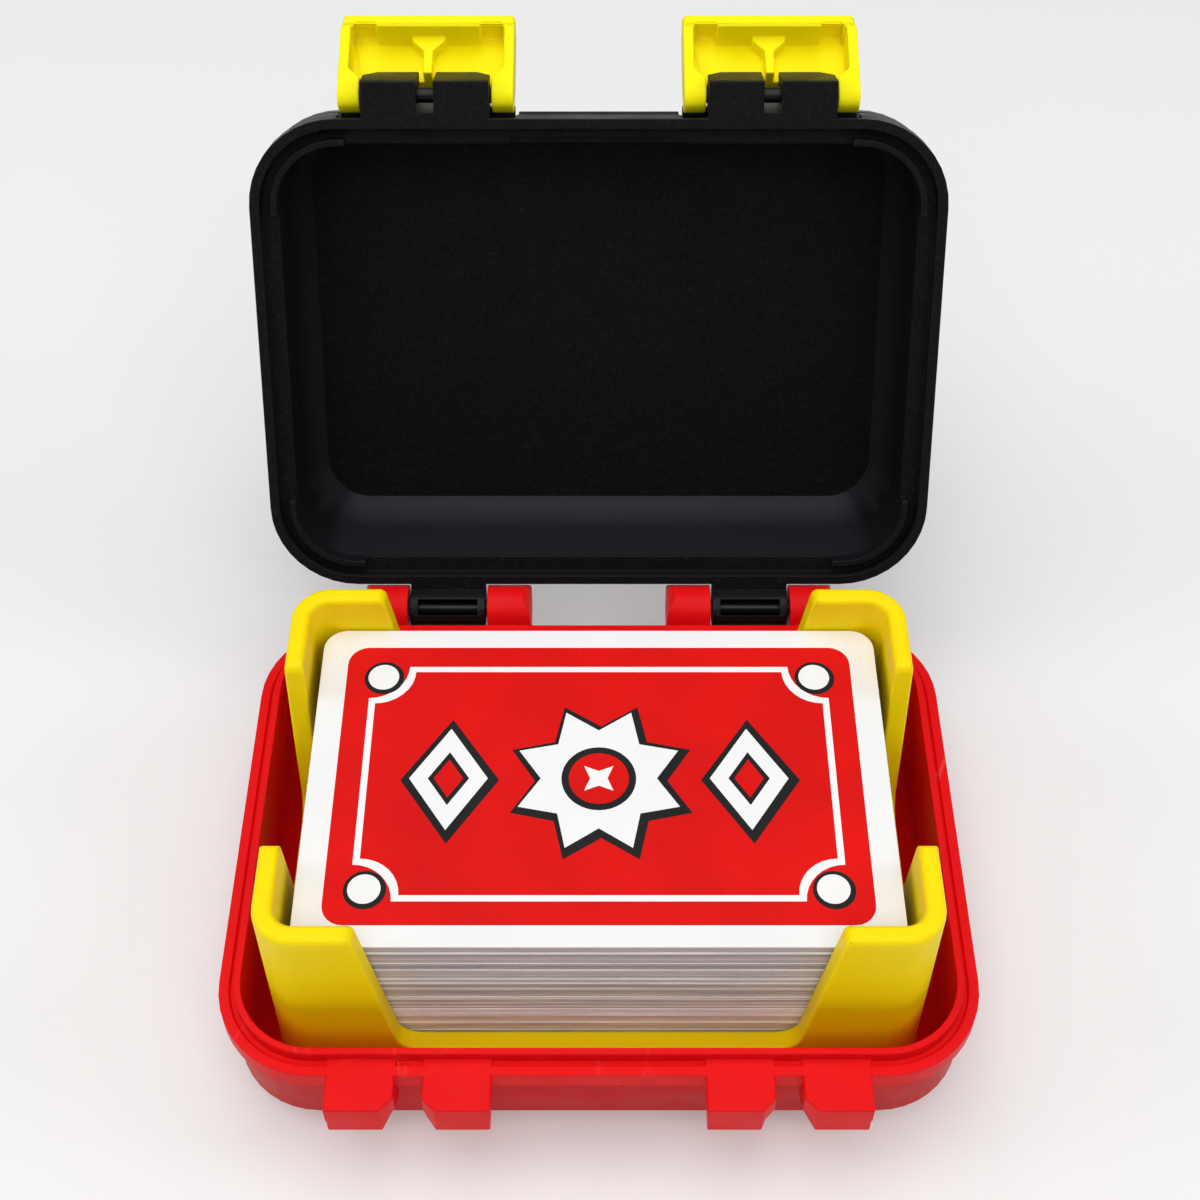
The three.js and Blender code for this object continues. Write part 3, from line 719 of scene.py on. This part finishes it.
def card_print():
    pips = [(sx * 33.6, sy * 18.8) for sx in (-1, 1) for sy in (-1, 1)]
    sides = [(sx * 22.5, 0) for sx in (-1, 1)]
    plates("print_panel", [[rounded(39.4, 24.6, 3.2)]], -0.004, 0.012, print_red)
    plates("print_frame", [[ticket(35.6, 20.8, 6.0), ticket(34.6, 19.8, 6.0)]], 0.008, 0.020, print_white)
    outlines = [[star(0.35, -0.45, 8, 14.6, 9.9, 22.5)]]
    outlines += [[lozenge(x + 0.2, y - 0.3, 7.4, 11.0)] for x, y in sides]
    outlines += [[disc(x + 0.1, y - 0.15, 3.1)] for x, y in pips]
    plates("print_outlines", outlines, 0.008, 0.024, print_black)
    whites = [[star(0, 0, 8, 13.0, 8.7, 22.5)]]
    whites += [[lozenge(x, y, 5.9, 9.0)] for x, y in sides]
    whites += [[disc(x, y, 2.4)] for x, y in pips]
    plates("print_whites", whites, 0.020, 0.032, print_white)
    rings = [[disc(0, 0, 5.6)]] + [[lozenge(x, y, 3.1, 4.7)] for x, y in sides]
    plates("print_rings", rings, 0.028, 0.040, print_black)
    hearts = [[disc(0, 0, 4.5)]] + [[lozenge(x, y, 2.2, 3.4)] for x, y in sides]
    plates("print_hearts", hearts, 0.036, 0.048, print_red)
    plates("print_eye", [[star(0, 0, 4, 3.1, 1.3, 45.0)]], 0.044, 0.056, print_white)


card_print()

# The webs behind the latch arms, at the back of the recesses in the lid's rim

LATCH_MIDDLE = 26.8
WEB_FROM = 9.7
WEB_TO = 13.7
WEB_SECTION = (
    (-39.2, 5.7), (-40.25, 5.9), (-40.35, 6.2), (-40.35, 7.5), (-40.25, 7.8), (-36.9, 8.3), (-36.9, 5.7),
)


def arm_webs():
    """A low web on each side of each latch block, set out on the shut lid and turned with the open lid."""
    hinge = Vector(HINGE)
    turn = Matrix.Rotation(math.radians(-OPEN), 3, "X")
    count = len(WEB_SECTION)
    faces = [tuple(range(count)), tuple(reversed(range(count, 2 * count)))]
    for step in range(count):
        after = (step + 1) % count
        faces.append((step, count + step, count + after, after))
    for side in (-1, 1):
        for arm in (-1, 1):
            middle = side * LATCH_MIDDLE
            vertices = []
            for x in sorted((middle + arm * WEB_FROM, middle + arm * WEB_TO)):
                for y, z in WEB_SECTION:
                    shut = Vector((x, y, HINGE[2] + z))
                    vertices.append(tuple(hinge + turn @ (shut - hinge)))
            place = ("left" if side < 0 else "right", "outer" if side * arm > 0 else "inner")
            web = new_piece("arm_web_%s_%s" % place, vertices, faces, "lid", "black_plastic", black)
            edges = web.modifiers.new("edges", "BEVEL")
            edges.width = 0.15 * MM
            edges.segments = 2
            edges.limit_method = "ANGLE"


arm_webs()

# Floor: its size and where it runs out into the background are in m

FLOOR_HALF = 6
FADE_FROM = 0.45
FADE_TO = 1.3
FADE_SHARE = 0.18


def seen_directly(tree):
    """1 where the camera, a mirror or glass looks straight at the material, and 0 for other light."""
    path = tree.nodes.new("ShaderNodeLightPath").outputs
    either = calculate(tree, "MAXIMUM", path["Is Camera Ray"], path["Is Glossy Ray"])
    return calculate(tree, "MAXIMUM", either, path["Is Transmission Ray"])


def floor_material():
    """A pale matt floor that shows the shadows lightly and runs out into the background."""
    material, tree, bsdf = shader("floor", (0.87, 0.87, 0.87), 0.7, specular=0.05)
    plain = node(tree, "ShaderNodeEmission", Color=BACKGROUND, Strength=1.0)
    away = node(tree, "ShaderNodeVectorMath", operation="LENGTH")
    tree.links.new(node(tree, "ShaderNodeTexCoord").outputs["Object"], away.inputs[0])
    share = ramp(tree, away.outputs["Value"], FADE_FROM, FADE_TO, FADE_SHARE, 1.0)
    blend_shader(tree, times(tree, seen_directly(tree), share), bsdf, plain, "Material Output")
    return material


def make_floor():
    mesh = bpy.data.meshes.new("floor")
    points = [(sx * FLOOR_HALF, sy * FLOOR_HALF, 0) for sx, sy in CORNERS]
    mesh.from_pydata(points, [], [(0, 1, 2, 3)])
    floor = bpy.data.objects.new("floor", mesh)
    scene.collection.objects.link(floor)
    give(floor, floor_material())


make_floor()
